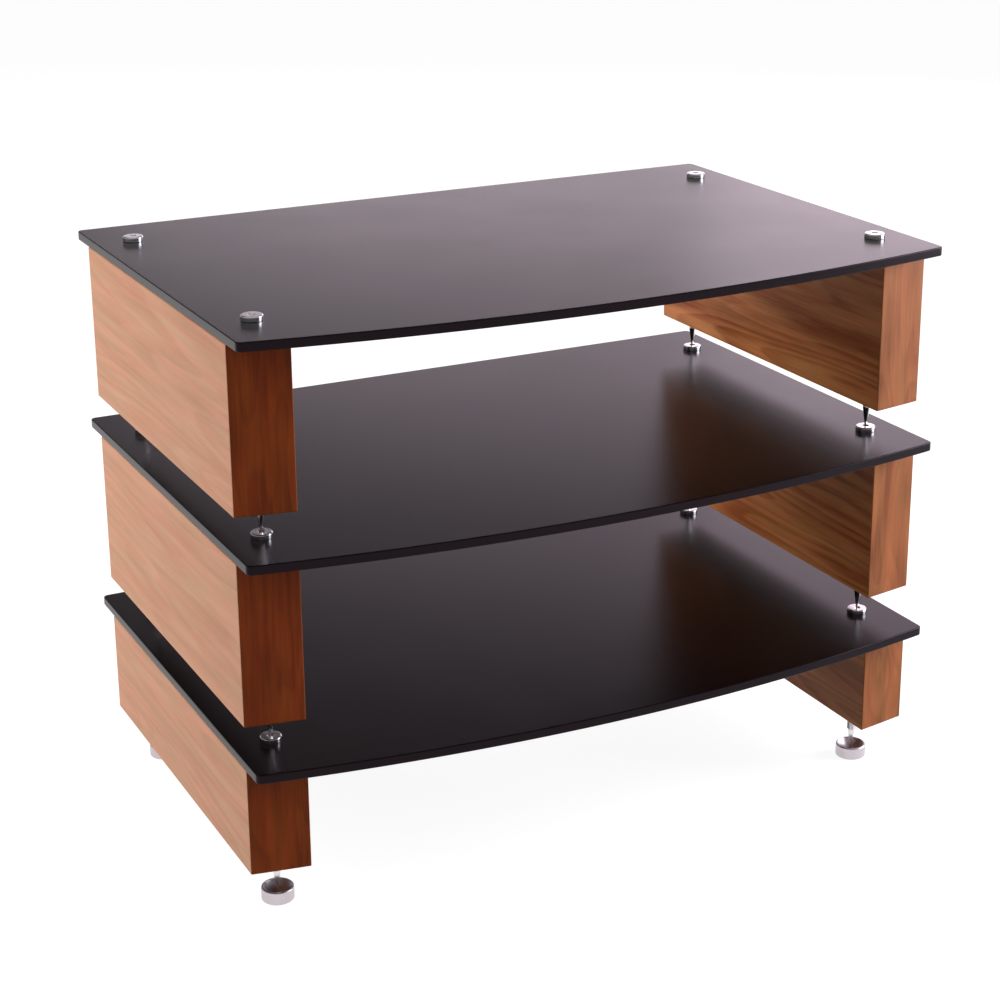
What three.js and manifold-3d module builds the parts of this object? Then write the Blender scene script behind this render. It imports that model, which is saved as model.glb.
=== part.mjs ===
// Audio equipment rack of three stacking tiers. Each tier is a thin black shelf with a bowed
// front edge, screwed down on two wooden side blocks. Four cone-tipped screws under the blocks
// stand in dimpled discs on the shelf below, and those of the bottom tier stand in floor cups.
// Millimetres, +Z up. The origin is on the floor in the middle of the footprint, and the bowed
// front looks along -Y.
import * as THREE from 'three';
import { mergeVertices } from 'three/addons/utils/BufferGeometryUtils.js';
import Module from 'manifold-3d';

const wasm = await Module();
wasm.setup();

// Shelf: straight back and sides, front edge an arc
const shelfWidth = 650;
const shelfDepth = 454; // back edge to the foremost point of the bow
const shelfBow = 31; // how far the arc stands forward of the front corners
const shelfThickness = 8;
const shelfCornerEase = 5; // rounding of the four corners, seen from above
const shelfEdgeEase = 0.8; // chamfer along the upper and lower edges

// Side blocks: flush with the shelf's sides, front ends cut parallel to the bow
const blockWidth = 50;
const bottomBlockHeight = 94;
const upperBlockHeight = 140;
const blockFrontInset = 26; // behind the shelf's front edge
const blockBackInset = 34; // ahead of the shelf's back edge
const blockArris = 1; // chamfer along all edges

// Air under the blocks
const floorGap = 45;
const tierGap = 31;

// Where the screws and discs stand on a block
const standFromOuter = 33; // in from the block's outer face
const standFromEnd = 30; // in from the block's front outer corner and from its back end

// Levelling screw: thread above, cone below
const threadDiameter = 8;
const threadLength = 32;
const threadEndChamfer = 1;
const coneLength = 20;
const coneBaseDiameter = 6.8;
const coneTipDiameter = 1.2;

// Threaded insert pressed into a block's underside
const insertDiameter = 12;
const insertLength = 15;
const insertFlangeDiameter = 16;
const insertFlangeThickness = 1.5;
const boreEndRoom = 3; // left above the thread when the screw is wound right in

// Disc: its head takes a screw's tip, its stud holds the shelf to the block
const discDiameter = 18;
const discHeight = 4.5;
const discChamfer = 0.8;
const discDimpleDiameter = 6;
const discDimpleDepth = 2.3;
const studDiameter = 6;
const studReach = 22; // into the block
const studEndRoom = 2;

// Floor cup: a thick round cup with a dished top
const cupDiameter = 28;
const cupHeight = 12;
const cupRimWidth = 1.6;
const cupDishDepth = 6.5;
const cupEdgeChamfer = 0.8;

// Clearances
const fitGap = 0.3; // round a piece that passes through or stands in another
const seatGap = 0.1; // film of lacquer or glue between flat faces that rest on each other
const cutOverrun = 5; // a cutter's reach past the face that it opens

// Fineness of the round shapes
const bowSteps = 20;
const blockFrontSteps = 4;
const shelfCornerSteps = 3;
const blockCornerSteps = 1;
const dishSteps = 4;
const discSides = 16;
const screwSides = 12;
const cupSides = 24;

const shelfHalfWidth = shelfWidth / 2;
const shelfBackY = shelfDepth / 2;
const shelfCornerY = shelfBow - shelfDepth / 2;
const bowRadius = (shelfHalfWidth ** 2 + shelfBow ** 2) / (2 * shelfBow);
const blockInnerX = shelfHalfWidth - blockWidth;
const blockBackY = shelfBackY - blockBackInset;
const standX = shelfHalfWidth - standFromOuter;
const standY = {
  front: shelfCornerY + blockFrontInset + standFromEnd,
  back: blockBackY - standFromEnd,
};
const sideSign = { left: -1, right: 1 };
const screwLength = coneLength + threadLength;

const finishes = {
  lacquer: new THREE.MeshStandardMaterial({ color: '#1d1719', roughness: 0.28, metalness: 0 }),
  wood: new THREE.MeshStandardMaterial({ color: '#b0714a', roughness: 0.45, metalness: 0 }),
  chrome: new THREE.MeshStandardMaterial({ color: '#dcdadd', roughness: 0.08, metalness: 1 }),
  satinSteel: new THREE.MeshStandardMaterial({ color: '#c3bdc1', roughness: 0.3, metalness: 1 }),
  brass: new THREE.MeshStandardMaterial({ color: '#b8955a', roughness: 0.35, metalness: 1 }),
};

// Front edge of the shelf at a distance x from its middle.
function bowY(x) {
  return shelfCornerY + bowRadius - shelfBow - Math.sqrt(bowRadius ** 2 - x ** 2);
}

// A geometry as a solid that can be cut.
function solidOf(geometry) {
  const bare = geometry.clone();
  for (const name of Object.keys(bare.attributes)) {
    if (name !== 'position') bare.deleteAttribute(name);
  }
  const merged = mergeVertices(bare);
  return new wasm.Manifold(
    new wasm.Mesh({
      numProp: 3,
      vertProperties: merged.attributes.position.array,
      triVerts: new Uint32Array(merged.index.array),
    }),
  );
}

function geometryOf(solid) {
  const { vertProperties, triVerts } = solid.getMesh();
  const geometry = new THREE.BufferGeometry();
  geometry.setAttribute('position', new THREE.BufferAttribute(vertProperties, 3));
  geometry.setIndex(new THREE.BufferAttribute(triVerts, 1));
  const faceted = geometry.toNonIndexed();
  faceted.computeVertexNormals();
  return faceted;
}

function cut(geometry, cutters) {
  let solid = solidOf(geometry);
  for (const cutter of cutters) solid = solid.subtract(solidOf(cutter));
  return geometryOf(solid);
}

// An upright slab: corners are [x, y, ease], and an ease takes its corner off in so many steps.
function slab(corners, height, edgeEase, easeSteps) {
  const shape = new THREE.Shape();
  corners.forEach(([x, y, ease], i) => {
    const corner = new THREE.Vector2(x, y);
    const toward = ([nextX, nextY]) =>
      new THREE.Vector2(nextX, nextY).sub(corner).setLength(ease).add(corner);
    const start = toward(corners.at(i - 1));
    const end = toward(corners[(i + 1) % corners.length]);
    if (i === 0) shape.moveTo(start.x, start.y);
    else shape.lineTo(start.x, start.y);
    if (ease > 0) shape.quadraticCurveTo(x, y, end.x, end.y);
  });
  return new THREE.ExtrudeGeometry(shape, {
    depth: height - 2 * edgeEase,
    curveSegments: easeSteps,
    bevelThickness: edgeEase,
    bevelSize: edgeEase,
    bevelOffset: -edgeEase,
    bevelSegments: 1,
  }).translate(0, 0, edgeEase);
}

// A turned piece on the Z axis from [radius, z] points, bottom to top.
function turned(profile, sides) {
  const points = profile.map(([radius, z]) => new THREE.Vector2(radius, z));
  return new THREE.LatheGeometry(points, sides).rotateX(Math.PI / 2);
}

// The front edge between two distances from the middle, moved back by an inset.
function bowCorners(fromX, toX, steps, inset, endEase) {
  const corners = [];
  for (let i = 0; i <= steps; i += 1) {
    const x = fromX + ((toX - fromX) * i) / steps;
    corners.push([x, bowY(x) + inset, i === 0 || i === steps ? endEase : 0]);
  }
  return corners;
}

function standPlaces() {
  const places = [];
  for (const end of Object.keys(standY)) {
    for (const side of Object.keys(sideSign)) {
      places.push({ name: `${end}_${side}`, side, x: sideSign[side] * standX, y: standY[end] });
    }
  }
  return places;
}

function shelfGeometry() {
  const outline = [
    [shelfHalfWidth, shelfBackY, shelfCornerEase],
    [-shelfHalfWidth, shelfBackY, shelfCornerEase],
    ...bowCorners(-shelfHalfWidth, shelfHalfWidth, bowSteps, 0, shelfCornerEase),
  ];
  const holeRadius = studDiameter / 2 + fitGap;
  const holes = standPlaces().map(({ x, y }) =>
    turned(
      [
        [0, -cutOverrun],
        [holeRadius, -cutOverrun],
        [holeRadius, shelfThickness + cutOverrun],
        [0, shelfThickness + cutOverrun],
      ],
      screwSides,
    ).translate(x, y, 0),
  );
  return cut(slab(outline, shelfThickness, shelfEdgeEase, shelfCornerSteps), holes);
}

// Bore in a block's underside: flange recess, seat of the insert, room for the thread.
function screwBore() {
  const recessRadius = insertFlangeDiameter / 2 + fitGap;
  const seatRadius = insertDiameter / 2 + fitGap;
  const threadRadius = threadDiameter / 2 + fitGap;
  const recessDepth = insertFlangeThickness + seatGap;
  const seatDepth = insertLength + seatGap;
  const boreDepth = threadLength + boreEndRoom;
  return turned(
    [
      [0, -cutOverrun],
      [recessRadius, -cutOverrun],
      [recessRadius, recessDepth],
      [seatRadius, recessDepth],
      [seatRadius, seatDepth],
      [threadRadius, seatDepth],
      [threadRadius, boreDepth],
      [0, boreDepth],
    ],
    screwSides,
  );
}

// Hole in a block's top for the stud of a disc.
function studBore(blockHeight) {
  const radius = studDiameter / 2 + fitGap;
  const floorZ = blockHeight - studReach - studEndRoom;
  return turned(
    [
      [0, floorZ],
      [radius, floorZ],
      [radius, blockHeight + cutOverrun],
      [0, blockHeight + cutOverrun],
    ],
    screwSides,
  );
}

function blockGeometry(side, blockHeight) {
  const innerX = sideSign[side] * blockInnerX;
  const outerX = sideSign[side] * shelfHalfWidth;
  const outline = [
    [outerX, blockBackY, blockArris],
    [innerX, blockBackY, blockArris],
    ...bowCorners(innerX, outerX, blockFrontSteps, blockFrontInset, blockArris),
  ];
  const bores = [];
  for (const place of standPlaces().filter((each) => each.side === side)) {
    bores.push(screwBore().translate(place.x, place.y, 0));
    bores.push(studBore(blockHeight).translate(place.x, place.y, 0));
  }
  return cut(slab(outline, blockHeight, blockArris, blockCornerSteps), bores);
}

// Tip at the origin, cone, then the thread.
function screwGeometry() {
  const tipRadius = coneTipDiameter / 2;
  const coneRadius = coneBaseDiameter / 2;
  const threadRadius = threadDiameter / 2;
  return turned(
    [
      [0, 0],
      [tipRadius, 0],
      [coneRadius, coneLength],
      [threadRadius, coneLength + threadRadius - coneRadius],
      [threadRadius, screwLength - threadEndChamfer],
      [threadRadius - threadEndChamfer, screwLength],
      [0, screwLength],
    ],
    screwSides,
  );
}

// Flange face at the origin, sleeve above it, open through the middle.
function insertGeometry() {
  const boreRadius = threadDiameter / 2 + fitGap;
  const flangeRadius = insertFlangeDiameter / 2;
  const sleeveRadius = insertDiameter / 2;
  return turned(
    [
      [boreRadius, 0],
      [flangeRadius, 0],
      [flangeRadius, insertFlangeThickness],
      [sleeveRadius, insertFlangeThickness],
      [sleeveRadius, insertLength],
      [boreRadius, insertLength],
      [boreRadius, 0],
    ],
    screwSides,
  );
}

// Underside of the head at the origin, stud below it, dimple in its top.
function discGeometry() {
  const discRadius = discDiameter / 2;
  const studRadius = studDiameter / 2;
  const studEndZ = -(seatGap + shelfThickness + seatGap + studReach);
  return turned(
    [
      [0, studEndZ],
      [studRadius, studEndZ],
      [studRadius, 0],
      [discRadius, 0],
      [discRadius, discHeight - discChamfer],
      [discRadius - discChamfer, discHeight],
      [discDimpleDiameter / 2, discHeight],
      [coneTipDiameter / 2 + fitGap, discHeight - discDimpleDepth],
      [0, discHeight - discDimpleDepth],
    ],
    discSides,
  );
}

function floorCupGeometry() {
  const cupRadius = cupDiameter / 2;
  const dishRadius = cupRadius - cupRimWidth;
  const seatRadius = coneTipDiameter / 2 + fitGap;
  const dishFloorZ = cupHeight - cupDishDepth;
  const dish = [];
  for (let i = dishSteps; i >= 0; i -= 1) {
    const share = i / dishSteps;
    dish.push([seatRadius + (dishRadius - seatRadius) * share, dishFloorZ + cupDishDepth * share ** 2]);
  }
  return turned(
    [
      [0, 0],
      [cupRadius - cupEdgeChamfer, 0],
      [cupRadius, cupEdgeChamfer],
      [cupRadius, cupHeight - cupEdgeChamfer],
      [cupRadius - cupEdgeChamfer, cupHeight],
      ...dish,
      [0, dishFloorZ],
    ],
    cupSides,
  );
}

function piece(name, geometry, finish, [x, y, z]) {
  const mesh = new THREE.Mesh(geometry, finishes[finish]);
  mesh.name = name;
  mesh.position.set(x, y, z);
  return mesh;
}

// One tier, in a group whose zero is the surface that the tier stands on.
function tier(name, blockBaseZ, blockHeight, tipZ) {
  const group = new THREE.Group();
  const shelfZ = blockBaseZ + blockHeight + seatGap;
  const shelfTopZ = shelfZ + shelfThickness;
  group.add(piece(`shelf_${name}`, shelfGeometry(), 'lacquer', [0, 0, shelfZ]));
  for (const side of Object.keys(sideSign)) {
    const block = blockGeometry(side, blockHeight);
    group.add(piece(`block_${name}_${side}`, block, 'wood', [0, 0, blockBaseZ]));
  }
  for (const { name: place, x, y } of standPlaces()) {
    group.add(
      piece(`screw_${name}_${place}`, screwGeometry(), 'chrome', [x, y, tipZ]),
      piece(`insert_${name}_${place}`, insertGeometry(), 'brass', [x, y, blockBaseZ]),
      piece(`disc_${name}_${place}`, discGeometry(), 'chrome', [x, y, shelfTopZ + seatGap]),
    );
  }
  group.userData.topZ = shelfTopZ;
  return group;
}

const rack = new THREE.Group();
for (const { name, x, y } of standPlaces()) {
  rack.add(piece(`floor_cup_${name}`, floorCupGeometry(), 'satinSteel', [x, y, 0]));
}

const cupSeatZ = cupHeight - cupDishDepth + fitGap;
const discSeatZ = seatGap + discHeight - discDimpleDepth + fitGap;
const tiers = [
  tier('bottom', floorGap, bottomBlockHeight, cupSeatZ),
  tier('middle', tierGap, upperBlockHeight, discSeatZ),
  tier('top', tierGap, upperBlockHeight, discSeatZ),
];
let standZ = 0;
for (const group of tiers) {
  group.position.z = standZ;
  standZ += group.userData.topZ;
  rack.add(group);
}

export default rack;
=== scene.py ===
import math

import bmesh
import bpy
from bpy.props import FloatProperty, FloatVectorProperty, IntProperty, PointerProperty
from mathutils import Matrix, Vector


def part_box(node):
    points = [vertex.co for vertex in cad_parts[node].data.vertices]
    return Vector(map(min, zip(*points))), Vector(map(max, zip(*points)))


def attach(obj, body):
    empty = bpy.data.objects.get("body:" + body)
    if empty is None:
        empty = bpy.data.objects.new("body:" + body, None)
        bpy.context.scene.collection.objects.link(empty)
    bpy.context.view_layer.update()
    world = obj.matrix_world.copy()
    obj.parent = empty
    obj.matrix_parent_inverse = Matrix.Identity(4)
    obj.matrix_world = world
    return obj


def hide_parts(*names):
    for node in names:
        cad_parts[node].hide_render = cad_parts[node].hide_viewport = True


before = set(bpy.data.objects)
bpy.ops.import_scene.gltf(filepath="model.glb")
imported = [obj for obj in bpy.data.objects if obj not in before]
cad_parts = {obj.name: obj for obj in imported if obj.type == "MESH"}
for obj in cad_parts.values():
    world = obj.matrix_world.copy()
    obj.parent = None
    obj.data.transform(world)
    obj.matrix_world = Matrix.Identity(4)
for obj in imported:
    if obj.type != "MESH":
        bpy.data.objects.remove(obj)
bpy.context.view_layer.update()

bl_info = {
    "name": "Audio Equipment Rack",
    "version": (1, 0, 0),
    "blender": (4, 5, 0),
    "location": "View3D > Sidebar > Rack",
    "description": "Dresses a stacking audio rack: lacquered boards, wooden blocks, turned metal",
    "category": "Add Mesh",
}

MM = 0.001
HAIR = 0.001 * MM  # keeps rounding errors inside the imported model's box
CHAMFER = 0.8 * MM  # of discs, studs and floor cups
OVERRUN = 5 * MM  # a cutter's reach past the face that it opens
SCREW_ROOM = 3 * MM  # left above a screw that is wound right in
STUD_ROOM = 2 * MM  # left below the end of a stud
# turns that smooth shading still runs across: on turned pieces, on threads, on boards and blocks
SHARP_TURNED, SHARP_THREAD, SHARP_BOARD = (math.radians(angle) for angle in (30, 38, 42))
TIERS = ("bottom", "middle", "top")
PLACES = ("front_left", "front_right", "back_left", "back_right")


def linear(hex_colour):
    """An sRGB hex colour as linear red, green, blue and alpha."""
    shares = [int(hex_colour[i:i + 2], 16) / 255 for i in (1, 3, 5)]
    curved = [s / 12.92 if s <= 0.04045 else ((s + 0.055) / 1.055) ** 2.4 for s in shares]
    return (*curved, 1.0)


def extent(node):
    """Width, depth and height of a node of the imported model."""
    low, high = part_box(node)
    return high - low


def colour_property(name, description, hex_colour):
    return FloatVectorProperty(name=name, description=description, default=linear(hex_colour),
                               subtype="COLOR", size=4, min=0, max=1)


def length_property(name, description, millimetres):
    return FloatProperty(name=name, description=description, default=millimetres * MM,
                         unit="LENGTH")


# ---------------------------------------------------------------------------
# Settings
# ---------------------------------------------------------------------------

class RackBoards(bpy.types.PropertyGroup):
    bow: length_property("Bow", "How far the front edge's middle stands ahead of its ends", 31)
    corner_radius: length_property("Corner radius", "Rounding of the corners, seen from above", 5)
    edge_radius: length_property("Edge radius", "Rounding along the upper and lower edges", 0.9)
    arc_steps: IntProperty(name="Arc steps", description="Straight steps along the bow",
                           default=72, min=8, max=400)
    lacquer: colour_property("Lacquer", "Colour of the black lacquer", "#0a0607")
    haze: FloatProperty(name="Haze", description="Roughness of the lacquer", default=0.255,
                        min=0, max=1, subtype="FACTOR")


class RackBlocks(bpy.types.PropertyGroup):
    front_inset: length_property("Front inset", "Distance of a block behind the board's edge", 26)
    arris_radius: length_property("Arris radius", "Rounding of the block's edges", 1.1)
    arc_steps: IntProperty(name="Arc steps", description="Straight steps across the front end",
                           default=12, min=1, max=100)
    figure: length_property("Figure", "Breadth of one flame of the wood's figure", 52)
    growth_lines: FloatProperty(name="Growth lines", description="Growth lines in one flame",
                                default=13, min=1, max=60)
    # the outer leaves' pale tone is partly their own and partly a painted sheen
    outer_and_sheen_light: colour_property("Outer, light", "Outer leaf between its lines", "#cb9e82")
    outer_and_sheen_dark: colour_property("Outer, dark", "Lines of the outer leaf", "#b9886a")
    inner_light: colour_property("Inner, light", "Inner leaf between its lines", "#d08f5d")
    inner_dark: colour_property("Inner, dark", "Lines of the inner leaf", "#84421d")
    # the left front end's deeper red is painted shade, and the other ends' paler tone painted
    # light
    shaded_end_light: colour_property("Left front end, light", "That leaf between its lines", "#ab511f")
    shaded_end_dark: colour_property("Left front end, dark", "Lines of that leaf", "#642509")
    end_light: colour_property("Other ends, light", "End leaf between its lines", "#b37247")
    end_dark: colour_property("Other ends, dark", "Lines of the end leaf", "#764326")


class RackMetal(bpy.types.PropertyGroup):
    thread_pitch: length_property("Thread pitch", "Rise of the screw's thread in one turn", 1.25)
    thread_depth: length_property("Thread depth", "Height of the thread above its root", 0.77)
    cone_length: length_property("Cone length", "Length of the screw's cone", 20)
    cone_base: length_property("Cone base", "Diameter of the cone at the thread", 6.8)
    tip: length_property("Tip", "Diameter of the cone's blunt tip", 1.2)
    stud: length_property("Stud", "Diameter of the disc's stud", 6)
    dimple: length_property("Dimple", "Diameter of the disc's dimple", 6)
    dimple_depth: length_property("Dimple depth", "Depth of the disc's dimple", 2.3)
    head: length_property("Head", "Height of the disc's head", 4.5)
    flange: length_property("Flange", "Thickness of the insert's flange", 1.5)
    sleeve: length_property("Sleeve", "Diameter of the insert's sleeve", 12)
    rim: length_property("Rim", "Width of the floor cup's rim", 1.6)
    dish: length_property("Dish", "Depth of the floor cup's dish", 6.5)
    clearance: length_property("Clearance", "Gap round a piece that stands in another", 0.3)
    chrome: colour_property("Chrome", "Colour of the plated screws and discs", "#dddbdd")
    steel: colour_property("Steel", "Colour of the turned floor cups", "#c6bec3")
    brass: colour_property("Brass", "Colour of the threaded inserts", "#b8975f")


class RackStage(bpy.types.PropertyGroup):
    camera: FloatVectorProperty(name="Camera", description="Where the camera stands",
                                default=(-0.8414, -1.6804, 0.9468), subtype="TRANSLATION")
    heading: FloatProperty(name="Heading", description="Turn of the camera to the right of +Y",
                           default=math.radians(26.325), subtype="ANGLE")
    tilt: FloatProperty(name="Tilt", description="Tilt of the camera below the horizon",
                        default=math.radians(18.419), subtype="ANGLE")
    roll: FloatProperty(name="Roll", description="Roll of the camera about its own axis",
                        default=math.radians(-0.474), subtype="ANGLE")
    focal_length: FloatProperty(name="Focal length", description="On a sensor 36 mm wide",
                                default=78.39, unit="CAMERA")
    shift: FloatProperty(name="Shift", description="Upright shift of the lens, as a share of the "
                         "picture's width", default=-0.06)
    floor: colour_property("Floor", "Colour of the floor", "#969494")
    room: colour_property("Room", "Colour of the room round the stage", "#fdfafc")
    side_lamp: FloatProperty(name="Side lamp", description="Power of the large lamp on the left",
                             default=52, unit="POWER")
    front_lamp: FloatProperty(name="Front lamp", description="Power of the lamp on the right",
                              default=60, unit="POWER")
    back_lamp: FloatProperty(name="Back lamp", description="Power of the lamp behind the rack",
                             default=12.5, unit="POWER")
    back_glow: FloatProperty(name="Back glow", description="Power of that lamp's bright middle",
                             default=10.5, unit="POWER")


# ---------------------------------------------------------------------------
# Meshes and modifiers
# ---------------------------------------------------------------------------

def add_node(tree, kind, settings=None, **sockets):
    """Adds a node. A socket's value is a constant or the output that feeds it; spaces in its
    name are written as underscores, and in_2 is the third input."""
    node = tree.nodes.new(kind)
    for name, value in (settings or {}).items():
        setattr(node, name, value)
    for name, value in sockets.items():
        by_index = name.startswith("in_") and name[3:].isdigit()
        socket = node.inputs[int(name[3:]) if by_index else name.replace("_", " ")]
        for one in value if isinstance(value, list) else [value]:
            if isinstance(one, bpy.types.NodeSocket):
                tree.links.new(one, socket)
            else:
                socket.default_value = one
    return node


def calculate(tree, operation, *values):
    """The result of a new math node."""
    sockets = {f"in_{i}": value for i, value in enumerate(values)}
    return add_node(tree, "ShaderNodeMath", {"operation": operation}, **sockets).outputs[0]


def graded(tree, value, soft=False, **ends):
    """A value carried from one range to another by a new node, in a straight or a soft slope."""
    slope = {"interpolation_type": "SMOOTHSTEP" if soft else "LINEAR"}
    return add_node(tree, "ShaderNodeMapRange", slope, Value=value, **ends).outputs[0]


def mixed(tree, share, first, second, blend="MIX"):
    """The mixture of two colours, from a new node."""
    return add_node(tree, "ShaderNodeMix", {"data_type": "RGBA", "blend_type": blend},
                    in_0=share, in_6=first, in_7=second).outputs[2]


def new_object(name, mesh):
    """An object with that mesh, lamp or camera, linked to the scene."""
    piece = bpy.data.objects.new(name, mesh)
    bpy.context.scene.collection.objects.link(piece)
    return piece


def eased(profile, radius, steps=4):
    """A profile with its inner corners rounded off."""
    room = 2.2  # a side holds the roundings of both its ends, and a little more
    points = [Vector(profile[0])]
    for before, corner, after in zip(profile, profile[1:], profile[2:]):
        corner = Vector(corner)
        back, ahead = Vector(before) - corner, Vector(after) - corner
        reach = min(radius, back.length / room, ahead.length / room)
        start, end = corner + back.normalized() * reach, corner + ahead.normalized() * reach
        for i in range(steps + 1):
            t = i / steps
            points.append(start * (1 - t) ** 2 + corner * 2 * t * (1 - t) + end * t ** 2)
    return points + [Vector(profile[-1])]


def turned(name, profile, sides):
    """A closed turned mesh from (radius, height) points that start and end on the axis, or that
    end where they start."""
    bm = bmesh.new()
    nought = 1e-9
    closed = (Vector(profile[0]) - Vector(profile[-1])).length < nought and profile[0][0] > 0
    rings = []
    for radius, height in profile[:-1] if closed else profile:
        count = sides if radius > nought else 1
        rings.append([bm.verts.new((radius * math.cos(math.tau * i / sides),
                                    radius * math.sin(math.tau * i / sides), height))
                      for i in range(count)])
    pairs = list(zip(rings, rings[1:])) + ([(rings[-1], rings[0])] if closed else [])
    for low, high in pairs:
        for i in range(sides):
            j = (i + 1) % sides
            corners = [low[i % len(low)], low[j % len(low)],
                       high[j % len(high)], high[i % len(high)]]
            kept = [v for k, v in enumerate(corners) if v not in corners[:k]]
            if len(kept) > 2:
                bm.faces.new(kept)
    bmesh.ops.recalc_face_normals(bm, faces=bm.faces)
    mesh = bpy.data.meshes.new(name)
    bm.to_mesh(mesh)
    bm.free()
    return mesh


def plain_mesh(piece, name):
    """The object's evaluated shape as a mesh of its own."""
    graph = bpy.context.evaluated_depsgraph_get()
    mesh = bpy.data.meshes.new_from_object(piece.evaluated_get(graph))
    mesh.name = name
    return mesh


def add_nodes_modifier(piece, tree, values):
    """Gives the piece the tree's modifier, with each input set by its socket's identifier."""
    modifier = piece.modifiers.new(tree.name, "NODES")
    modifier.node_group = tree
    ids = {item.name: item.identifier for item in tree.interface.items_tree
           if getattr(item, "in_out", "") == "INPUT"}
    for name, value in values.items():
        modifier[ids[name]] = value


def smooth(piece, angle):
    """Smooth shading that breaks at sharp edges and leaves broad faces flat."""
    mesh = piece.data
    mesh.polygons.foreach_set("use_smooth", [True] * len(mesh.polygons))
    mesh.set_sharp_from_angle(angle=angle)
    modifier = piece.modifiers.new("Broad faces", "WEIGHTED_NORMAL")
    modifier.keep_sharp = True
    modifier.weight = 90  # of 100: a corner's normal is nearly that of its broadest face


def finish_piece(name, source, material, body, nodes, angle=SHARP_BOARD):
    """Turns a source object with modifiers into a plain piece that rides on a body."""
    mesh = plain_mesh(source, name)
    bpy.data.objects.remove(source)
    rough = new_object(name + ".rough", mesh)
    smooth(rough, angle)
    mesh = plain_mesh(rough, name)
    bpy.data.objects.remove(rough)
    mesh.materials.clear()
    mesh.materials.append(material)
    piece = new_object(name, mesh)
    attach(piece, body)
    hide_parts(*nodes)


def new_tree(name, inputs):
    """An empty geometry tree with named inputs, its input node and its output node."""
    tree = bpy.data.node_groups.new(name, "GeometryNodeTree")
    tree.interface.new_socket("Geometry", in_out="OUTPUT", socket_type="NodeSocketGeometry")
    for label, kind in inputs.items():
        tree.interface.new_socket(label, in_out="INPUT", socket_type="NodeSocket" + kind)
    return tree, tree.nodes.new("NodeGroupInput").outputs, tree.nodes.new("NodeGroupOutput")


def end_tree(tree, geometry, material, output):
    """Makes instances real, sets the material and feeds the tree's output."""
    real = add_node(tree, "GeometryNodeRealizeInstances", Geometry=geometry)
    dressed = add_node(tree, "GeometryNodeSetMaterial", Geometry=real.outputs[0],
                       Material=material)
    tree.links.new(dressed.outputs[0], output.inputs[0])


def bowed_slab_tree():
    """A flat slab: its front edge is an arc through three points, its sides and back are straight,
    and its four upright corners are rounded."""
    tree, given, output = new_tree("Bowed slab", {
        "Start": "Vector", "Middle": "Vector", "End": "Vector", "Back": "Float",
        "Height": "Float", "Thickness": "Float", "Corner Radius": "Float", "Steps": "Int",
        "Material": "Material"})
    arc = add_node(tree, "GeometryNodeCurveArc", {"mode": "POINTS"}, Resolution=given["Steps"],
                   Start=given["Start"], Middle=given["Middle"], End=given["End"])
    front = add_node(tree, "GeometryNodeCurveToPoints", {"mode": "EVALUATED"},
                     Curve=arc.outputs[0])
    ends = [add_node(tree, "ShaderNodeSeparateXYZ", Vector=given[key]) for key in ("End", "Start")]
    corners = [add_node(tree, "ShaderNodeCombineXYZ", X=end.outputs[0], Y=given["Back"])
               for end in ends]
    back = add_node(tree, "GeometryNodeMeshLine", {"mode": "END_POINTS"}, Count=2,
                    Start_Location=corners[0].outputs[0], Offset=corners[1].outputs[0])
    back = add_node(tree, "GeometryNodeMeshToPoints", Mesh=back.outputs[0])
    points = add_node(tree, "GeometryNodeJoinGeometry",
                      Geometry=[front.outputs[0], back.outputs[0]])
    outline = add_node(tree, "GeometryNodePointsToCurves", Points=points.outputs[0])
    outline = add_node(tree, "GeometryNodeSetSplineCyclic", Geometry=outline.outputs[0],
                       Cyclic=True)

    # only the points in line with the two ends of the arc are corners
    in_line, corner_steps, one_point = 0.01 * MM, 8, 0.001 * MM
    place = add_node(tree, "ShaderNodeSeparateXYZ", Vector=add_node(
        tree, "GeometryNodeInputPosition").outputs[0])
    same = [calculate(tree, "COMPARE", place.outputs[0], end.outputs[0], in_line) for end in ends]
    radius = calculate(tree, "MULTIPLY", calculate(tree, "MAXIMUM", *same), given["Corner Radius"])
    outline = add_node(tree, "GeometryNodeFilletCurve", {"mode": "POLY"}, Curve=outline.outputs[0],
                       Count=corner_steps, Radius=radius, Limit_Radius=True)
    face = add_node(tree, "GeometryNodeFillCurve", {"mode": "NGONS"}, Curve=outline.outputs[0])
    lift = add_node(tree, "ShaderNodeCombineXYZ", Z=given["Height"])
    face = add_node(tree, "GeometryNodeTransform", Geometry=face.outputs[0],
                    Translation=lift.outputs[0])
    raised = add_node(tree, "GeometryNodeExtrudeMesh", {"mode": "FACES"}, Mesh=face.outputs[0],
                      Offset=(0, 0, 1), Offset_Scale=given["Thickness"], Individual=False)
    under = add_node(tree, "GeometryNodeFlipFaces", Mesh=face.outputs[0])
    both = add_node(tree, "GeometryNodeJoinGeometry",
                    Geometry=[raised.outputs[0], under.outputs[0]])
    slab = add_node(tree, "GeometryNodeMergeByDistance", Geometry=both.outputs[0],
                    Distance=one_point)
    end_tree(tree, slab.outputs[0], given["Material"], output)
    return tree


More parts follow.
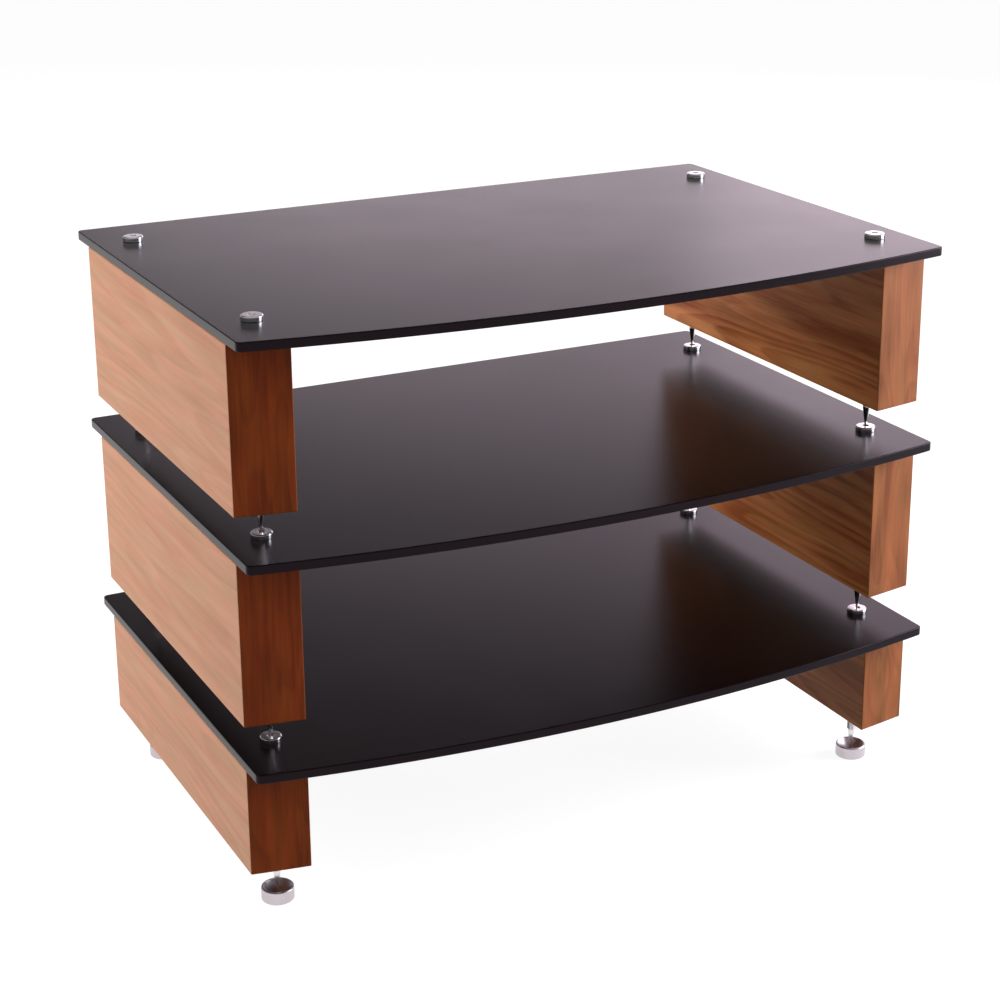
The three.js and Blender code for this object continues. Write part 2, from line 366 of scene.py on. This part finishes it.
def stand_set_tree():
    """One piece four times, at the corners of a rectangle of stands."""
    tree, given, output = new_tree("Stand set", {
        "Piece": "Object", "Across": "Float", "Front": "Float", "Back": "Float",
        "Height": "Float", "Material": "Material"})
    depth = calculate(tree, "SUBTRACT", given["Back"], given["Front"])
    total = calculate(tree, "ADD", given["Back"], given["Front"])
    middle = calculate(tree, "MULTIPLY", total, 0.5)
    grid = add_node(tree, "GeometryNodeMeshGrid", Size_X=given["Across"], Size_Y=depth,
                    Vertices_X=2, Vertices_Y=2)
    place = add_node(tree, "ShaderNodeCombineXYZ", Y=middle, Z=given["Height"])
    grid = add_node(tree, "GeometryNodeTransform", Geometry=grid.outputs[0],
                    Translation=place.outputs[0])
    piece = add_node(tree, "GeometryNodeObjectInfo", Object=given["Piece"])
    four = add_node(tree, "GeometryNodeInstanceOnPoints", Points=grid.outputs[0],
                    Instance=piece.outputs["Geometry"])
    end_tree(tree, four.outputs[0], given["Material"], output)
    return tree


def threaded_tree():
    """A turned core with a ridge that winds up round it, set down at a place."""
    tree, given, output = new_tree("Threaded", {
        "Core": "Object", "Place": "Vector", "Thread Start": "Float", "Thread Length": "Float",
        "Pitch": "Float", "Radius": "Float", "Depth": "Float", "Material": "Material"})
    steps_a_turn = 28
    root_share = 0.46  # half the ridge's breadth at its root, as a share of the pitch
    turns = calculate(tree, "DIVIDE", given["Thread Length"], given["Pitch"])
    ridge = calculate(tree, "SUBTRACT", given["Radius"], given["Depth"])
    helix = add_node(tree, "GeometryNodeCurveSpiral", Resolution=steps_a_turn, Rotations=turns,
                     Start_Radius=ridge, End_Radius=ridge, Height=given["Thread Length"])
    helix = add_node(tree, "GeometryNodeSetCurveNormal", {"mode": "Z_UP"}, Curve=helix.outputs[0])
    half = calculate(tree, "MULTIPLY", given["Pitch"], root_share)
    corners = [add_node(tree, "ShaderNodeCombineXYZ", X=given["Depth"]),
               add_node(tree, "ShaderNodeCombineXYZ", Y=half)]
    opposite = [add_node(tree, "ShaderNodeVectorMath", {"operation": "SCALE"},
                         in_0=corner.outputs[0], Scale=-1.0) for corner in corners]
    section = add_node(tree, "GeometryNodeCurvePrimitiveQuadrilateral", {"mode": "POINTS"},
                       Point_1=corners[0].outputs[0], Point_2=corners[1].outputs[0],
                       Point_3=opposite[0].outputs[0], Point_4=opposite[1].outputs[0])
    thread = add_node(tree, "GeometryNodeCurveToMesh", Curve=helix.outputs[0],
                      Profile_Curve=section.outputs[0], Fill_Caps=True)
    rise = add_node(tree, "ShaderNodeCombineXYZ", Z=given["Thread Start"])
    thread = add_node(tree, "GeometryNodeTransform", Geometry=thread.outputs[0],
                      Translation=rise.outputs[0])
    core = add_node(tree, "GeometryNodeObjectInfo", Object=given["Core"])
    both = add_node(tree, "GeometryNodeJoinGeometry",
                    Geometry=[thread.outputs[0], core.outputs["Geometry"]])
    placed = add_node(tree, "GeometryNodeTransform", Geometry=both.outputs[0],
                      Translation=given["Place"])
    end_tree(tree, placed.outputs[0], given["Material"], output)
    return tree


def place_tree():
    """One piece set down at a place."""
    tree, given, output = new_tree("Placed", {
        "Piece": "Object", "Place": "Vector", "Material": "Material"})
    piece = add_node(tree, "GeometryNodeObjectInfo", Object=given["Piece"])
    placed = add_node(tree, "GeometryNodeTransform", Geometry=piece.outputs["Geometry"],
                      Translation=given["Place"])
    end_tree(tree, placed.outputs[0], given["Material"], output)
    return tree


# ---------------------------------------------------------------------------
# Materials
# ---------------------------------------------------------------------------

def new_material(name):
    """A material with an empty tree of nodes, and that tree."""
    material = bpy.data.materials.new(name)
    material.use_nodes = True
    material.node_tree.nodes.clear()
    return material, material.node_tree


def end_material(tree, shader):
    """Feeds the shader to the material's surface."""
    output = tree.nodes.new("ShaderNodeOutputMaterial")
    tree.links.new(shader.outputs[0], output.inputs["Surface"])


def seen_rays(tree):
    """1 for what the eye sees, straight, mirrored or through glass, and 0 for light on a piece."""
    rays = add_node(tree, "ShaderNodeLightPath").outputs
    mirrored = calculate(tree, "MAXIMUM", rays["Is Camera Ray"], rays["Is Glossy Ray"])
    return calculate(tree, "MAXIMUM", mirrored, rays["Is Transmission Ray"])


def black_lacquer(boards):
    """Sprayed black lacquer on fibreboard, rubbed down to a satin gloss: a deep black that mirrors
    what stands on it with soft outlines, a little more hazily where it has been handled."""
    material, tree = new_material("black_lacquer")
    place = add_node(tree, "ShaderNodeTexCoord").outputs["Object"]
    # haze of handling, some 70 mm across; where its roughness crosses 0.27, the renderer's noise
    # filter draws outlines, so it keeps below that
    hazier = 0.01
    cloud = add_node(tree, "ShaderNodeTexNoise", Vector=place, Scale=1 / (70 * MM), Detail=2.0)
    haze = graded(tree, cloud.outputs["Fac"], soft=True, From_Min=0.2, From_Max=0.8,
                  To_Min=boards.haze - hazier, To_Max=boards.haze + hazier)
    # orange peel, 4 mm from crest to crest and a few thousandths high
    peel = add_node(tree, "ShaderNodeTexNoise", Vector=place, Scale=1 / (4 * MM), Detail=1.0)
    bump = add_node(tree, "ShaderNodeBump", Strength=0.1, Distance=0.004 * MM,
                    Height=peel.outputs["Fac"])
    # the pink specular tint is a painted tint of the reflections, the lilac of the light they
    # mirror
    shader = add_node(tree, "ShaderNodeBsdfPrincipled", Base_Color=tuple(boards.lacquer),
                      Roughness=haze, IOR=1.47, Specular_IOR_Level=0.16,
                      Specular_Tint=linear("#ffdcf2"), Normal=bump.outputs[0])
    end_material(tree, shader)
    return material


def satin_cherry(blocks):
    """Cherry veneer under satin lacquer. The grain runs along the depth on the sides and upright
    on the ends, in flames of soft growth lines that are fainter on the ends. The outer leaves are
    paler, partly as a painted sheen, and the ends pinker. The left front ends are a deeper red
    than
    the inner leaves: painted shade. The other ends are paler: painted light."""
    material, tree = new_material("satin_cherry_veneer")
    place = add_node(tree, "ShaderNodeTexCoord").outputs["Object"]
    normal = add_node(tree, "ShaderNodeNewGeometry").outputs["Normal"]
    at, facing = (add_node(tree, "ShaderNodeSeparateXYZ", Vector=v) for v in (place, normal))

    # which leaf: the ends look along the depth, the outer sides away from the middle; the blocks
    # stand some 300 mm from the middle, so that the outer leaf ends half-way round its arris
    half_way = 0.5 * 300 * MM
    ends = graded(tree, calculate(tree, "ABSOLUTE", facing.outputs[1]), soft=True, From_Min=0.6,
                  From_Max=0.8)
    outer = calculate(tree, "MULTIPLY", facing.outputs[0], at.outputs[0])
    outer = calculate(tree, "GREATER_THAN", outer, half_way)
    # a left front end is where both the place across and the way it faces are below nought
    # the other ends take the paler tone, painted light; the left front end keeps the painted shade
    paler = calculate(tree, "MAXIMUM", at.outputs[0], facing.outputs[1])
    paler = calculate(tree, "GREATER_THAN", paler, 0.0)

    def drawn(share, end_share=None):
        """Coordinates squeezed to a share along the grain, which draws a pattern out there."""
        ways = [add_node(tree, "ShaderNodeMapping", Vector=place, Scale=scale)
                for scale in ((1, share, 1), (1, 1, end_share or share))]
        return add_node(tree, "ShaderNodeMix", {"data_type": "VECTOR"}, in_0=ends,
                        in_4=ways[0].outputs[0], in_5=ways[1].outputs[0]).outputs[1]

    # growth lines follow the levels of a slow swell, so they close into flames and eyes
    swell = add_node(tree, "ShaderNodeTexNoise", Vector=drawn(0.09, 0.2), Scale=1 / blocks.figure,
                     Detail=1.6, Roughness=0.45, Distortion=0.25)
    years = calculate(tree, "MULTIPLY", swell.outputs["Fac"], blocks.growth_lines)
    year = calculate(tree, "FRACT", years)
    darkest = 0.85  # of a year's growth
    late = graded(tree, year, soft=True, From_Min=0.1, From_Max=darkest)
    early = graded(tree, year, soft=True, From_Min=darkest, From_Max=1.0, To_Min=1.0, To_Max=0.0)
    line = calculate(tree, "MULTIPLY", late, early)
    # bands a finger wide, and fibres 1 mm thick along the grain
    band = add_node(tree, "ShaderNodeTexNoise", Vector=drawn(0.1, 0.17), Scale=1 / (17 * MM),
                    Detail=3.0)
    fibre = add_node(tree, "ShaderNodeTexNoise", Vector=drawn(0.03), Scale=1 / (2 * MM),
                     Detail=3.0, Roughness=0.65)
    amount = calculate(tree, "MULTIPLY", line, graded(tree, ends, To_Min=0.27, To_Max=0.16))
    for noise, share in ((band, 1.3), (fibre, 0.6)):
        amount = calculate(tree, "MULTIPLY_ADD", noise.outputs["Fac"], share, amount)
    amount = graded(tree, amount, From_Min=0.72, From_Max=1.52)

    # outer leaves: partly a painted sheen; left front end: painted shade; other ends: painted
    # light
    shades = []
    for leaves in ((blocks.inner_light, blocks.outer_and_sheen_light, blocks.shaded_end_light, blocks.end_light),
                   (blocks.inner_dark, blocks.outer_and_sheen_dark, blocks.shaded_end_dark, blocks.end_dark)):
        inner, outside_and_sheen, shaded_end, pale_end = (tuple(leaf) for leaf in leaves)
        shades.append(mixed(tree, ends, mixed(tree, outer, inner, outside_and_sheen),
                            mixed(tree, paler, shaded_end, pale_end)))
    wood = mixed(tree, amount, *shades)
    # the heartwood drifts between a red and an olive cast
    cast = add_node(tree, "ShaderNodeTexNoise", Vector=drawn(0.12), Scale=1 / (12 * MM),
                    Detail=1.0)
    cast = graded(tree, cast.outputs["Fac"], From_Min=0.35, From_Max=0.65)
    cast = mixed(tree, cast, linear("#fff0ea"), linear("#f4f4ea"))
    wood = mixed(tree, 1.0, wood, cast, "MULTIPLY")

    gloss = graded(tree, fibre.outputs["Fac"], To_Min=0.38, To_Max=0.5)
    bump = add_node(tree, "ShaderNodeBump", Strength=0.25, Distance=0.03 * MM,
                    Height=fibre.outputs["Fac"])
    shader = add_node(tree, "ShaderNodeBsdfPrincipled", Base_Color=wood, Roughness=gloss,
                      IOR=1.47, Specular_IOR_Level=0.15, Normal=bump.outputs[0])
    end_material(tree, shader)
    return material


def turned_metal(name, colour, roughness, spacing, depth):
    """Metal turned on a lathe: its tool marks lie in level rings, so they follow the height."""
    material, tree = new_material(name)
    place = add_node(tree, "ShaderNodeTexCoord").outputs["Object"]
    level = add_node(tree, "ShaderNodeMapping", Vector=place, Scale=(0.02, 0.02, 1.0))
    marks = add_node(tree, "ShaderNodeTexNoise", Vector=level.outputs[0], Scale=1 / spacing,
                     Detail=2.0)
    touch = add_node(tree, "ShaderNodeTexNoise", Vector=place, Scale=1 / (6 * MM), Detail=2.0)
    haze = graded(tree, touch.outputs["Fac"], From_Min=0.3, From_Max=0.7,
                  To_Min=roughness * 0.8, To_Max=roughness * 1.25)
    bump = add_node(tree, "ShaderNodeBump", Strength=0.3, Distance=depth,
                    Height=marks.outputs["Fac"])
    shader = add_node(tree, "ShaderNodeBsdfPrincipled", Base_Color=tuple(colour),
                      Metallic=1.0, Roughness=haze, Normal=bump.outputs[0])
    end_material(tree, shader)
    return material


def polished_chrome(metal):
    """Chrome plate over turned steel, polished bright, with the faintest trace of the rings."""
    return turned_metal("polished_chrome", metal.chrome, roughness=0.2, spacing=0.3 * MM,
                        depth=0.002 * MM)


def turned_steel(metal):
    """Stainless steel left as turned: a silvery sheen with fine rings round the cup."""
    return turned_metal("turned_steel", metal.steel, roughness=0.36, spacing=0.35 * MM,
                        depth=0.01 * MM)


def machined_brass(metal):
    """Plain machined brass, dull at the flange."""
    return turned_metal("machined_brass", metal.brass, roughness=0.34, spacing=0.3 * MM,
                        depth=0.01 * MM)


# ---------------------------------------------------------------------------
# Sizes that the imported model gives, and shapes that follow them
# ---------------------------------------------------------------------------

def bow_y(x, inset=0.0):
    """Front edge of the boards at a distance x from their middle, moved back by an inset."""
    bow = bpy.context.scene.rack_boards.bow
    half = extent("shelf_top").x / 2
    radius = (half ** 2 + bow ** 2) / (2 * bow)
    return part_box("shelf_top")[0].y + radius - math.sqrt(radius ** 2 - x ** 2) + inset


def foot_of(node):
    """The lowest point on the axis of a turned node."""
    low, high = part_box(node)
    middle = (low + high) / 2
    return Vector((middle.x, middle.y, low.z))


def stand_values(kind, tier):
    """Spacing of a tier's four stands, taken from the nodes of that kind."""
    front, back = foot_of(f"{kind}_{tier}_front_right"), foot_of(f"{kind}_{tier}_back_right")
    return {"Across": 2 * front.x, "Front": front.y, "Back": back.y}


def slab_source(node, tree, inset, corner_radius, steps, material):
    """A bowed slab in a node's box, as an object whose modifier makes it."""
    slab = new_object(node + ".source", bpy.data.meshes.new(node + ".source"))
    low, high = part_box(node)
    low_x, high_x = low.x + HAIR, high.x - HAIR
    middle_x = (low_x + high_x) / 2
    add_nodes_modifier(slab, tree, {
        "Start": Vector((low_x, bow_y(low_x, inset), 0)),
        "Middle": Vector((middle_x, bow_y(middle_x, inset), 0)),
        "End": Vector((high_x, bow_y(high_x, inset), 0)),
        "Back": high.y, "Height": low.z, "Thickness": high.z - low.z,
        "Corner Radius": corner_radius, "Steps": steps, "Material": material})
    return slab


def bevel(piece, radius):
    """Rounds the edges of a board or block."""
    modifier = piece.modifiers.new("Eased edges", "BEVEL")
    modifier.width = radius
    modifier.segments = 3
    modifier.limit_method = "ANGLE"
    modifier.angle_limit = math.radians(40)


def cut(piece, cutter):
    """Takes the cutter's shape out of the piece."""
    modifier = piece.modifiers.new("Bores", "BOOLEAN")
    modifier.operation = "DIFFERENCE"
    modifier.solver = "EXACT"
    modifier.object = cutter


def four_cutters(name, tree, profile, kind, tier, height):
    """Four alike turned cutters at a tier's stands, joined in one mesh."""
    single = new_object(name + ".single", turned(name, profile, sides=48))
    four = new_object(name + ".source", bpy.data.meshes.new(name))
    add_nodes_modifier(four, tree, {"Piece": single, "Height": height,
                                    **stand_values(kind, tier)})
    mesh = plain_mesh(four, name)
    bpy.data.objects.remove(four)
    bpy.data.objects.remove(single)
    return new_object(name, mesh)


def finish_four(kind, tier, mesh, stands, material):
    """A tier's four discs or inserts, which are alike, as one piece."""
    single = new_object(kind + ".single", mesh)
    four = new_object(kind + "s.source", bpy.data.meshes.new(kind + "s"))
    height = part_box(f"{kind}_{tier}_front_left")[0].z
    add_nodes_modifier(four, stands, {"Piece": single, "Height": height, "Material": material,
                                      **stand_values(kind, tier)})
    finish_piece(f"{kind}s_{tier}", four, material, f"{tier}_tier",
                 [f"{kind}_{tier}_{place}" for place in PLACES], SHARP_TURNED)
    bpy.data.objects.remove(single)


# ---------------------------------------------------------------------------
# Operators
# ---------------------------------------------------------------------------

class RACK_OT_boards(bpy.types.Operator):
    """Make the three lacquered boards"""
    bl_idname = "rack.boards"
    bl_label = "Boards"

    def execute(self, context):
        boards, metal = context.scene.rack_boards, context.scene.rack_metal
        tree, stands, lacquer = bowed_slab_tree(), stand_set_tree(), black_lacquer(boards)
        for tier in TIERS:
            node = f"shelf_{tier}"
            low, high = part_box(node)
            slab = slab_source(node, tree, 0.0, boards.corner_radius, boards.arc_steps, lacquer)
            hole = metal.stud / 2 + metal.clearance
            over = 2 * (high.z - low.z)
            holes = four_cutters(f"stud_holes_{tier}", stands,
                                 [(0, -over), (hole, -over), (hole, over), (0, over)],
                                 "disc", tier, low.z)
            bevel(slab, boards.edge_radius)
            cut(slab, holes)
            finish_piece(f"board_{tier}", slab, lacquer, f"{tier}_tier", [node])
            bpy.data.objects.remove(holes)
        return {"FINISHED"}


class RACK_OT_blocks(bpy.types.Operator):
    """Make the six wooden side blocks, with the bores for their inserts, screws and studs"""
    bl_idname = "rack.blocks"
    bl_label = "Side blocks"

    def execute(self, context):
        blocks, metal = context.scene.rack_blocks, context.scene.rack_metal
        tree, stands, wood = bowed_slab_tree(), stand_set_tree(), satin_cherry(blocks)
        for tier in TIERS:
            low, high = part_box(f"block_{tier}_left")
            insert, screw = extent(f"insert_{tier}_front_left"), extent(f"screw_{tier}_front_left")
            gap = metal.clearance
            lift = gap / 3  # room above the insert's flange and above its end
            deep = screw.z - metal.cone_length + SCREW_ROOM
            flange, sleeve, thread = insert.x / 2 + gap, metal.sleeve / 2 + gap, screw.x / 2 + gap
            screw_bore = [(0, -OVERRUN), (flange, -OVERRUN), (flange, metal.flange + lift),
                          (sleeve, metal.flange + lift), (sleeve, insert.z + lift),
                          (thread, insert.z + lift), (thread, deep), (0, deep)]
            stud = metal.stud / 2 + gap
            stud_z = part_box(f"disc_{tier}_front_left")[0].z - STUD_ROOM
            stud_bore = [(0, stud_z), (stud, stud_z), (stud, high.z + OVERRUN),
                         (0, high.z + OVERRUN)]
            cutters = [
                four_cutters(f"screw_bores_{tier}", stands, screw_bore, "screw", tier, low.z),
                four_cutters(f"stud_bores_{tier}", stands, stud_bore, "disc", tier, 0.0)]
            for side in ("left", "right"):
                node = f"block_{tier}_{side}"
                slab = slab_source(node, tree, blocks.front_inset, blocks.arris_radius,
                                   blocks.arc_steps, wood)
                bevel(slab, blocks.arris_radius)
                for cutter in cutters:
                    cut(slab, cutter)
                finish_piece(f"side_block_{tier}_{side}", slab, wood, f"{tier}_tier", [node])
            for cutter in cutters:
                bpy.data.objects.remove(cutter)
        return {"FINISHED"}


class RACK_OT_discs(bpy.types.Operator):
    """Make the dimpled discs, four on each board, with their studs"""
    bl_idname = "rack.discs"
    bl_label = "Discs"

    def execute(self, context):
        metal = context.scene.rack_metal
        chrome, stands = polished_chrome(metal), stand_set_tree()
        for tier in TIERS:
            size = extent(f"disc_{tier}_front_left")
            half, top, stud = size.x / 2, size.z, metal.stud / 2
            head, seat = top - metal.head, top - metal.dimple_depth
            profile = eased([
                (0, 0), (stud - CHAMFER, 0), (stud, CHAMFER), (stud, head), (half, head),
                (half, top - CHAMFER), (half - CHAMFER, top), (metal.dimple / 2, top),
                (metal.tip / 2 + metal.clearance, seat), (0, seat)], radius=0.25 * MM)
            finish_four("disc", tier, turned("disc", profile, sides=72), stands, chrome)
        return {"FINISHED"}


class RACK_OT_screws(bpy.types.Operator):
    """Make the twelve levelling screws: a wound thread above a slender cone"""
    bl_idname = "rack.screws"
    bl_label = "Levelling screws"

    def execute(self, context):
        metal = context.scene.rack_metal
        chrome, tree = polished_chrome(metal), threaded_tree()
        size = extent("screw_top_front_left")
        outer, root = size.x / 2, size.x / 2 - metal.thread_depth
        cone, base, tip = metal.cone_length, metal.cone_base / 2, metal.tip / 2
        collar, root_from, chamfer = 0.5 * MM, 0.9 * MM, 0.6 * MM
        thread_from, thread_bare = 1.3 * MM, 2.4 * MM  # the latter at both ends together
        profile = eased([
            (0, 0), (tip, 0), (base, cone), (base, cone + collar), (root, cone + root_from),
            (root, size.z - chamfer), (root - chamfer, size.z), (0, size.z)], radius=0.3 * MM)
        core = new_object("screw.core", turned("screw", profile, sides=40))
        for tier in TIERS:
            for place in PLACES:
                node = f"screw_{tier}_{place}"
                screw = new_object(node + ".source", bpy.data.meshes.new(node))
                add_nodes_modifier(screw, tree, {
                    "Core": core, "Place": foot_of(node), "Thread Start": cone + thread_from,
                    "Thread Length": size.z - cone - thread_bare, "Pitch": metal.thread_pitch,
                    "Radius": outer, "Depth": metal.thread_depth, "Material": chrome})
                finish_piece(f"levelling_{node}", screw, chrome, node, [node],
                             SHARP_THREAD)
        bpy.data.objects.remove(core)
        return {"FINISHED"}


class RACK_OT_inserts(bpy.types.Operator):
    """Make the brass inserts that the screws turn in"""
    bl_idname = "rack.inserts"
    bl_label = "Inserts"

    def execute(self, context):
        metal = context.scene.rack_metal
        brass, stands = machined_brass(metal), stand_set_tree()
        bore, mouth = extent("screw_top_front_left").x / 2 + metal.clearance, 0.4 * MM
        for tier in TIERS:
            size = extent(f"insert_{tier}_front_left")
            half, sleeve = size.x / 2, metal.sleeve / 2
            profile = eased([
                (bore, mouth), (bore + mouth, 0), (half, 0), (half, metal.flange),
                (sleeve, metal.flange), (sleeve, size.z), (bore, size.z), (bore, mouth)],
                radius=0.2 * MM)
            finish_four("insert", tier, turned("insert", profile, sides=56), stands, brass)
        return {"FINISHED"}


class RACK_OT_floor_cups(bpy.types.Operator):
    """Make the four dished floor cups"""
    bl_idname = "rack.floor_cups"
    bl_label = "Floor cups"

    def execute(self, context):
        metal = context.scene.rack_metal
        steel, tree = turned_steel(metal), place_tree()
        size = extent("floor_cup_front_left")
        half, seat = size.x / 2, metal.tip / 2 + metal.clearance
        dish_radius, floor_z, steps = half - metal.rim, size.z - metal.dish, 20
        wall = [(0, 0), (half - CHAMFER, 0), (half, CHAMFER), (half, size.z - CHAMFER),
                (half - CHAMFER, size.z), (dish_radius, size.z)]
        dish = [Vector((seat + (dish_radius - seat) * i / steps,
                        floor_z + metal.dish * (i / steps) ** 2))
                for i in range(steps - 1, -1, -1)]
        profile = eased(wall, radius=0.35 * MM) + dish + [Vector((0, floor_z))]
        cup = new_object("cup.single", turned("cup", profile, sides=96))
        for place in PLACES:
            node = f"floor_cup_{place}"
            one = new_object(node + ".source", bpy.data.meshes.new(node))
            add_nodes_modifier(one, tree, {"Piece": cup, "Place": foot_of(node),
                                           "Material": steel})
            finish_piece(f"dished_{node}", one, steel, f"cup_{place}", [node],
                         SHARP_TURNED)
        bpy.data.objects.remove(cup)
        return {"FINISHED"}


LIT_POINT = (0, 0, 0.28)  # what all lamps look at: the middle of the rack
# the stage's setting that holds the power, place, width and height, tint, shown in glossy pieces
LAMPS = (
    ("side_lamp", (-2.0, 1.35, 0.85), (1.3, 1.3), "#fff6f0", False),
    ("front_lamp", (1.92, -0.78, 0.8), (1.3, 1.3), "#f2f4ff", True),
    ("back_lamp", (2.38, 3.08, 1.19), (4.2, 0.84), "#ffe9f8", True),
    ("back_glow", (2.93, 2.46, 1.45), (2.2, 1.7), "#ffe9f8", True),
)


def area_lamp(name, power, place, size, tint, mirrored):
    """A soft oval lamp that looks at the rack. It can't be seen itself, and where it isn't
    mirrored, it doesn't show in glossy pieces either."""
    light = bpy.data.lights.new(name, "AREA")
    light.shape = "ELLIPSE"
    light.energy = power
    light.color = linear(tint)[:3]
    light.size, light.size_y = size
    lamp = new_object(name, light)
    lamp.location = place
    lamp.rotation_euler = (Vector(LIT_POINT) - Vector(place)).to_track_quat("-Z", "Y").to_euler()
    lamp.visible_camera = False
    lamp.visible_glossy = mirrored


class RACK_OT_stage(bpy.types.Operator):
    """Make the floor, the soft lamps and the camera"""
    bl_idname = "rack.stage"
    bl_label = "Stage"

    def execute(self, context):
        stage = context.scene.rack_stage
        self.add_camera(context, stage)
        self.add_floor(stage)
        self.light_world(context, stage)
        for name, *looks in LAMPS:
            area_lamp(name, getattr(stage, name), *looks)
        context.scene.view_settings.view_transform = "Standard"
        return {"FINISHED"}

    def add_camera(self, context, stage):
        """A camera that stands and looks as the photographer's did."""
        camera = bpy.data.cameras.new("camera")
        camera.sensor_width = 36
        camera.lens = stage.focal_length
        camera.shift_y = stage.shift
        heading, tilt, roll = stage.heading, stage.tilt, stage.roll
        ahead = Vector((math.sin(heading) * math.cos(tilt), math.cos(heading) * math.cos(tilt),
                        -math.sin(tilt)))
        right = Vector((math.cos(heading), -math.sin(heading), 0))
        up = right.cross(ahead)
        right, up = (math.cos(roll) * right + math.sin(roll) * up,
                     math.cos(roll) * up - math.sin(roll) * right)
        turn = Matrix((right, up, -ahead)).transposed().to_4x4()
        seen = new_object("camera", camera)
        seen.matrix_world = Matrix.Translation(Vector(stage.camera)) @ turn
        context.scene.camera = seen

    def add_floor(self, stage):
        """A pale floor that is white to the eye and in reflections, and keeps soft shadows."""
        bm = bmesh.new()
        bmesh.ops.create_grid(bm, x_segments=8, y_segments=8, size=40)  # 40 m each way
        mesh = bpy.data.meshes.new("floor")
        bm.to_mesh(mesh)
        bm.free()
        material, tree = new_material("pale_floor")
        whiteness = 0.9  # what the paint lacks of white, so that it shows white all the same
        paint = add_node(tree, "ShaderNodeBsdfDiffuse", Color=tuple(stage.floor))
        glow = add_node(tree, "ShaderNodeEmission", Color=(1, 1, 1, 1),
                        Strength=calculate(tree, "MULTIPLY", seen_rays(tree), whiteness))
        both = add_node(tree, "ShaderNodeAddShader", in_0=paint.outputs[0], in_1=glow.outputs[0])
        end_material(tree, both)
        mesh.materials.append(material)
        new_object("floor", mesh)

    def light_world(self, context, stage):
        """A room that is brighter to the eye and in reflections than as a lamp. Its walls are
        white along the horizon and darken between 5 and 16 degrees above it, and from 35 degrees
        upwards a pale ceiling sets in, which the boards mirror from above."""
        world = bpy.data.worlds.new("room")
        world.use_nodes = True
        tree = world.node_tree
        tree.nodes.clear()
        rise = add_node(tree, "ShaderNodeSeparateXYZ", Vector=add_node(
            tree, "ShaderNodeTexCoord").outputs["Generated"]).outputs[2]
        walls, ceiling = [
            graded(tree, rise, soft=True, From_Min=math.sin(math.radians(low)),
                   From_Max=math.sin(math.radians(high)), To_Min=below, To_Max=above)
            for low, high, below, above in ((5, 16, 1.0, 0.12), (35, 70, 0.0, 0.4))]
        as_lamp = 0.26
        strength = graded(tree, seen_rays(tree), To_Min=as_lamp,
                          To_Max=calculate(tree, "ADD", walls, ceiling))
        room = add_node(tree, "ShaderNodeBackground", Color=tuple(stage.room), Strength=strength)
        output = tree.nodes.new("ShaderNodeOutputWorld")
        tree.links.new(room.outputs[0], output.inputs["Surface"])
        context.scene.world = world


class RACK_PT_sidebar(bpy.types.Panel):
    """Lists the rack's settings and the buttons that make its pieces"""
    bl_idname = "RACK_PT_sidebar"
    bl_label = "Audio Equipment Rack"
    bl_space_type = "VIEW_3D"
    bl_region_type = "UI"
    bl_category = "Rack"

    def draw(self, context):
        for settings, operators in PANEL_ROWS:
            box = self.layout.box()
            group = getattr(context.scene, settings)
            for name in group.__annotations__:
                box.prop(group, name)
            for operator in operators:
                box.operator(operator)


PANEL_ROWS = (
    ("rack_boards", ("rack.boards",)),
    ("rack_blocks", ("rack.blocks",)),
    ("rack_metal", ("rack.discs", "rack.screws", "rack.inserts", "rack.floor_cups")),
    ("rack_stage", ("rack.stage",)),
)

SETTINGS = {"rack_boards": RackBoards, "rack_blocks": RackBlocks, "rack_metal": RackMetal,
            "rack_stage": RackStage}

CLASSES = (*SETTINGS.values(), RACK_OT_boards, RACK_OT_blocks, RACK_OT_discs, RACK_OT_screws,
           RACK_OT_inserts, RACK_OT_floor_cups, RACK_OT_stage, RACK_PT_sidebar)


def register():
    for cls in CLASSES:
        bpy.utils.register_class(cls)
    for name, group in SETTINGS.items():
        setattr(bpy.types.Scene, name, PointerProperty(type=group))


def unregister():
    for name in SETTINGS:
        delattr(bpy.types.Scene, name)
    for cls in reversed(CLASSES):
        bpy.utils.unregister_class(cls)


def main():
    register()
    bpy.ops.rack.stage()
    bpy.ops.rack.boards()
    bpy.ops.rack.blocks()
    bpy.ops.rack.discs()
    bpy.ops.rack.screws()
    bpy.ops.rack.inserts()
    bpy.ops.rack.floor_cups()


if __name__ == "__main__":
    main()
